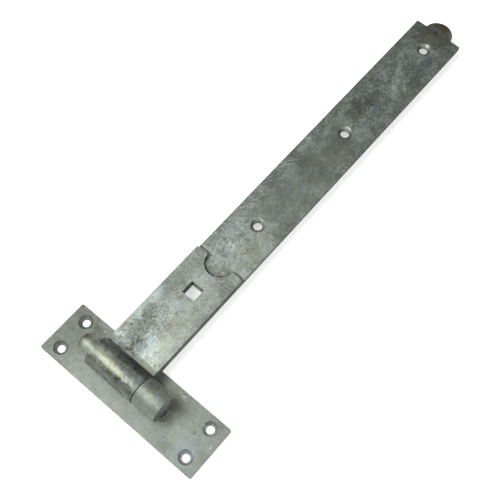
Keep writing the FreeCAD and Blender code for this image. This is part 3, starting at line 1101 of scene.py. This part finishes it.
@dataclass(frozen=True)
class Hook:
    """The plate, the strap, the pin and the weld that joins the tails to the plate.

    Lengths are in millimetres.

    Attributes:
        nodes: Their solids by name.
        axis: A point on the pin's axis.
        top: Height of the plate's front.
        body: The body that the weld bead and the zinc lumps ride on.
        edge_round: Width of the eased edges.
        sink_light_half: Half sizes of the painted light that brightens a countersink.
        sink_depth: Depth of its middle under the plate's front.
        lumps: Zinc lumps on the plate, the largest first.
    """

    nodes: Mapping[str, bpy.types.Object]
    axis: Vector
    top: float
    body: str = "hook"
    edge_round: float = 0.4
    sink_light_half: Point = (5.6, 5.6, 3.2)
    sink_depth: float = 2.0
    lumps: Sequence[Lump] = (
        Lump(at=(21.6, -36.0), half=(2.4, 3.6, 0.4), turn=12.0),
        Lump(at=(20.0, 51.0), half=(1.3, 1.0, 0.35), turn=0.0),
        Lump(at=(4.0, -80.0), half=(0.9, 2.2, 0.3), turn=80.0),
        Lump(at=(-22.5, 24.0), half=(0.9, 1.8, 0.3), turn=5.0),
    )

    def smudge(
        self, mark: Mark, at: Pair, half: Pair, strength: float = 1.0, depth: float = 20.0
    ) -> Patch:
        """Mark on the plate's front, which reaches through the plate unless it has less depth."""
        return Patch(mark, (*at, self.top), (*half, depth), strength)

    def plate_coat(self) -> Galvanised:
        """Choose even grey zinc with smudges, painted shade beside the pin and over the plate's end by its free
        end, painted light in the countersinks and rust by the strap.

        Returns:
            The plate's coat.
        """
        marks = [
            self.smudge(Mark.TONE, (-2, -50), (14, 14), 0.07),
            # Painted shade beside the pin and over the plate's end by the pin's free end.
            self.smudge(Mark.TONE, (16, 38), (9, 34), -0.1),
            self.smudge(Mark.TONE, (0, 78), (70, 28), -0.16),
            self.smudge(Mark.TONE, (-18, -48), (9, 14), -0.06),
            self.smudge(Mark.FLAKE, (19, 22), (4, 9), -0.1),
            self.smudge(Mark.FLAKE, (4, -62), (2.2, 1.4), -0.16, depth=3),
            self.smudge(Mark.FLAKE, self.lumps[0].at, (3.4, 4.6), 0.12, depth=3),
            self.smudge(Mark.STRAW, (8, -26), (14, 20), 0.25),
            self.smudge(Mark.COOL, (-12, -66), (14, 12), 0.25),
            self.smudge(Mark.RUST, (14.5, -17), (2, 1.6), 0.7, depth=2),
            self.smudge(Mark.RUST, (18, -12), (0.9, 0.9), 0.7, depth=2),
        ]
        # Painted light that brightens each countersink's walls.
        for hole in screw_holes("plate_screws"):
            middle = (hole.x, hole.y, self.top - self.sink_depth)
            marks.append(Patch(Mark.FLAKE, middle, self.sink_light_half, 0.28))
        return Galvanised(
            "plate_zinc_coat", sheared=Axis.X, tone=0.42, cloudy=0.08, flaky=0.06, speckle=0.4,
            hairline=0.16, tinted=0.1, side_shade=0.08, metallic=0.6, patches=marks,
        )

    def strap_coat(self) -> Galvanised:
        """Choose grainy zinc with sawn arcs on the strap's end faces.

        Returns:
            The strap's coat.
        """
        centre = (self.axis.x, 0.0, self.axis.z)
        return Galvanised(
            "strap_zinc_coat", tone=0.42, cloudy=0.08, speckle=0.7, hairline=0.1, side_shade=0.02,
            relief=0.1, roughness=0.54, metallic=0.72, arcs=SawnArcs(centre),
        )

    def pin_coat(self) -> Galvanised:
        """Choose grainy zinc with a rusty free end.

        Returns:
            The pin's coat.
        """
        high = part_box("hook_pin")[1] / MM
        marks = [
            Patch(Mark.WARM, (0.0, high.y, high.z), (14.0, 7.0, 16.0), 0.6),
            Patch(Mark.RUST, (3.0, high.y - 3.0, high.z - 1.0), (3.0, 3.0, 4.0), 0.9),
            Patch(Mark.RUST, (-5.0, high.y - 1.0, high.z - 6.0), (2.0, 2.0, 5.0), 0.8),
        ]
        return Galvanised(
            "pin_zinc_coat", tone=0.45, cloudy=0.1, speckle=0.6, hairline=0.1, side_shade=0.02,
            roughness=0.54, metallic=0.72, patches=marks,
        )

    def dress(self) -> None:
        """Ease the edges, give each solid its coat, lay the weld and leave the zinc lumps."""
        coats = {
            "hook_plate": self.plate_coat(),
            "hook_strap": self.strap_coat(),
            "hook_pin": self.pin_coat(),
        }
        for name, coat in coats.items():
            ease_edges(self.nodes[name], self.edge_round)
            put_on(self.nodes[name], coat.make())
            log.info("%s: dressed", name)
        self.lay_weld()
        self.leave_lumps()

    def lay_weld(self) -> None:
        """Lay the rippled bead in place of the plain collar."""
        bead = WeldBead(*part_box("tail_weld")).build("tail_weld_bead")
        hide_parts("tail_weld")
        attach(bead, self.body)
        coat = Galvanised("weld_zinc_coat", tone=0.5, cloudy=0.2, side_shade=0.0, relief=0.08)
        put_on(bead, coat.make())
        log.info("tail_weld_bead: laid round the tails")

    def leave_lumps(self) -> None:
        """Leave the lumps of zinc on the plate's front."""
        coat = Galvanised("lump_zinc_coat", tone=0.54, speckle=0.6, metallic=0.6).make()
        for number, lump in enumerate(self.lumps, 1):
            made = lump.build(number, self.top)
            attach(made, self.body)
            put_on(made, coat)
            log.info("%s: left on the plate", made.name)


@dataclass(frozen=True)
class SoftBox:
    """One square soft light.

    Attributes:
        name: The light's name.
        place: Where it hangs, in metres.
        size: Its side, in metres.
        power: Its power, in watts.
    """

    name: str
    place: Point
    size: float
    power: float

    def hang(self, look: Point) -> None:
        """Hang the light and turn it to the hinge.

        Args:
            look: Where it faces, in metres.
        """
        data = bpy.data.lights.new(self.name, "AREA")
        data.size = self.size
        data.energy = self.power
        lamp = bpy.data.objects.new(self.name, data)
        lamp.location = self.place
        lamp.rotation_euler = (Vector(look) - lamp.location).to_track_quat("-Z", "Y").to_euler()
        bpy.context.scene.collection.objects.link(lamp)


@dataclass(frozen=True)
class Studio:
    """Pale floor, soft light and the camera.

    Attributes:
        look: Where the camera looks, in metres.
        view: Direction of view.
        distance: Camera to that point, in metres.
        roll: Turn of the camera about its view, in degrees.
        focal: Focal length as a share of the frame's width.
        nearest: Distance of the nearest thing that the camera sees, in metres.
        boxes: The soft lights.
        air: Strength of the light from all round.
        air_colour: Colour of that light.
        floor_size: Side of the floor, in metres.
        floor_gap: Room between the plate's back and the floor, in metres.
        paint: The floor's finish.
    """

    look: Point = (0.152, 0.0052, 0.015)
    view: Point = (0.3284, 0.2507, -0.9106)
    distance: float = 0.75
    roll: float = 3.14
    focal: float = 1.7382
    nearest: float = 0.01
    boxes: Sequence[SoftBox] = (
        SoftBox("soft_box", place=(-0.42, 0.4, 1.2), size=0.8, power=25.0),
        SoftBox("front_fill", place=(0.1, -0.9, 1.3), size=1.2, power=8.0),
    )
    air: float = 0.28
    air_colour: Colour = (1.0, 1.0, 1.0, 1.0)
    floor_size: float = 12.0
    floor_gap: float = 0.0002
    paint: PalePaint = PalePaint()

    def build(self) -> None:
        """Set up the floor, the lights and the camera."""
        self.lay_floor()
        for box in self.boxes:
            box.hang(self.look)
        self.light_air()
        self.set_camera()
        log.info("studio: floor, lights and camera set")

    def lay_floor(self) -> None:
        """Lay a pale floor just under the plate."""
        bpy.ops.mesh.primitive_plane_add(size=self.floor_size, location=(0, 0, -self.floor_gap))
        floor = bpy.context.object
        floor.name = "floor"
        put_on(floor, self.paint.make())

    def light_air(self) -> None:
        """Light the air all round, and show tones as they are."""
        world = bpy.data.worlds.new("studio_air")
        world.use_nodes = True
        background = world.node_tree.nodes["Background"]
        background.inputs["Color"].default_value = self.air_colour
        background.inputs["Strength"].default_value = self.air
        bpy.context.scene.world = world
        bpy.context.scene.view_settings.view_transform = "Standard"

    def set_camera(self) -> None:
        """Put the camera at the photograph's viewing angle."""
        view = Vector(self.view).normalized()
        right = view.cross(Vector((0, 0, 1))).normalized()
        up = right.cross(view)
        turn = Matrix.Rotation(math.radians(self.roll), 3, -view)
        axes = Matrix((turn @ right, turn @ up, -view)).transposed()
        data = bpy.data.cameras.new("camera")
        data.sensor_fit = "HORIZONTAL"
        data.lens = self.focal * data.sensor_width
        data.clip_start = self.nearest
        camera = bpy.data.objects.new("camera", data)
        camera.matrix_world = Matrix.Translation(Vector(self.look) - view * self.distance) @ axes.to_4x4()
        bpy.context.scene.collection.objects.link(camera)
        bpy.context.scene.camera = camera


def main() -> None:
    """Dress the band and the hook, then set up the studio."""
    logging.basicConfig(level=logging.INFO, format="%(name)s: %(message)s")
    axis = Vector(frame["joints"][0]["pos_m"]) / MM
    holes = screw_holes("band_screws_near") + screw_holes("band_screws_far")[1:]
    band = Band(
        node=frame["nodes"]["band"],
        axis=axis,
        back=MOUNTS["band_back"]["pos_m"][2] / MM,
        front=MOUNTS["coach_bolt"]["pos_m"][2] / MM,
        holes=[hole.x - axis.x for hole in holes],
    )
    band.dress()
    hook = Hook(nodes=frame["nodes"], axis=axis, top=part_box("hook_plate")[1].z / MM)
    hook.dress()
    Studio().build()


if __name__ == "__main__":
    main()
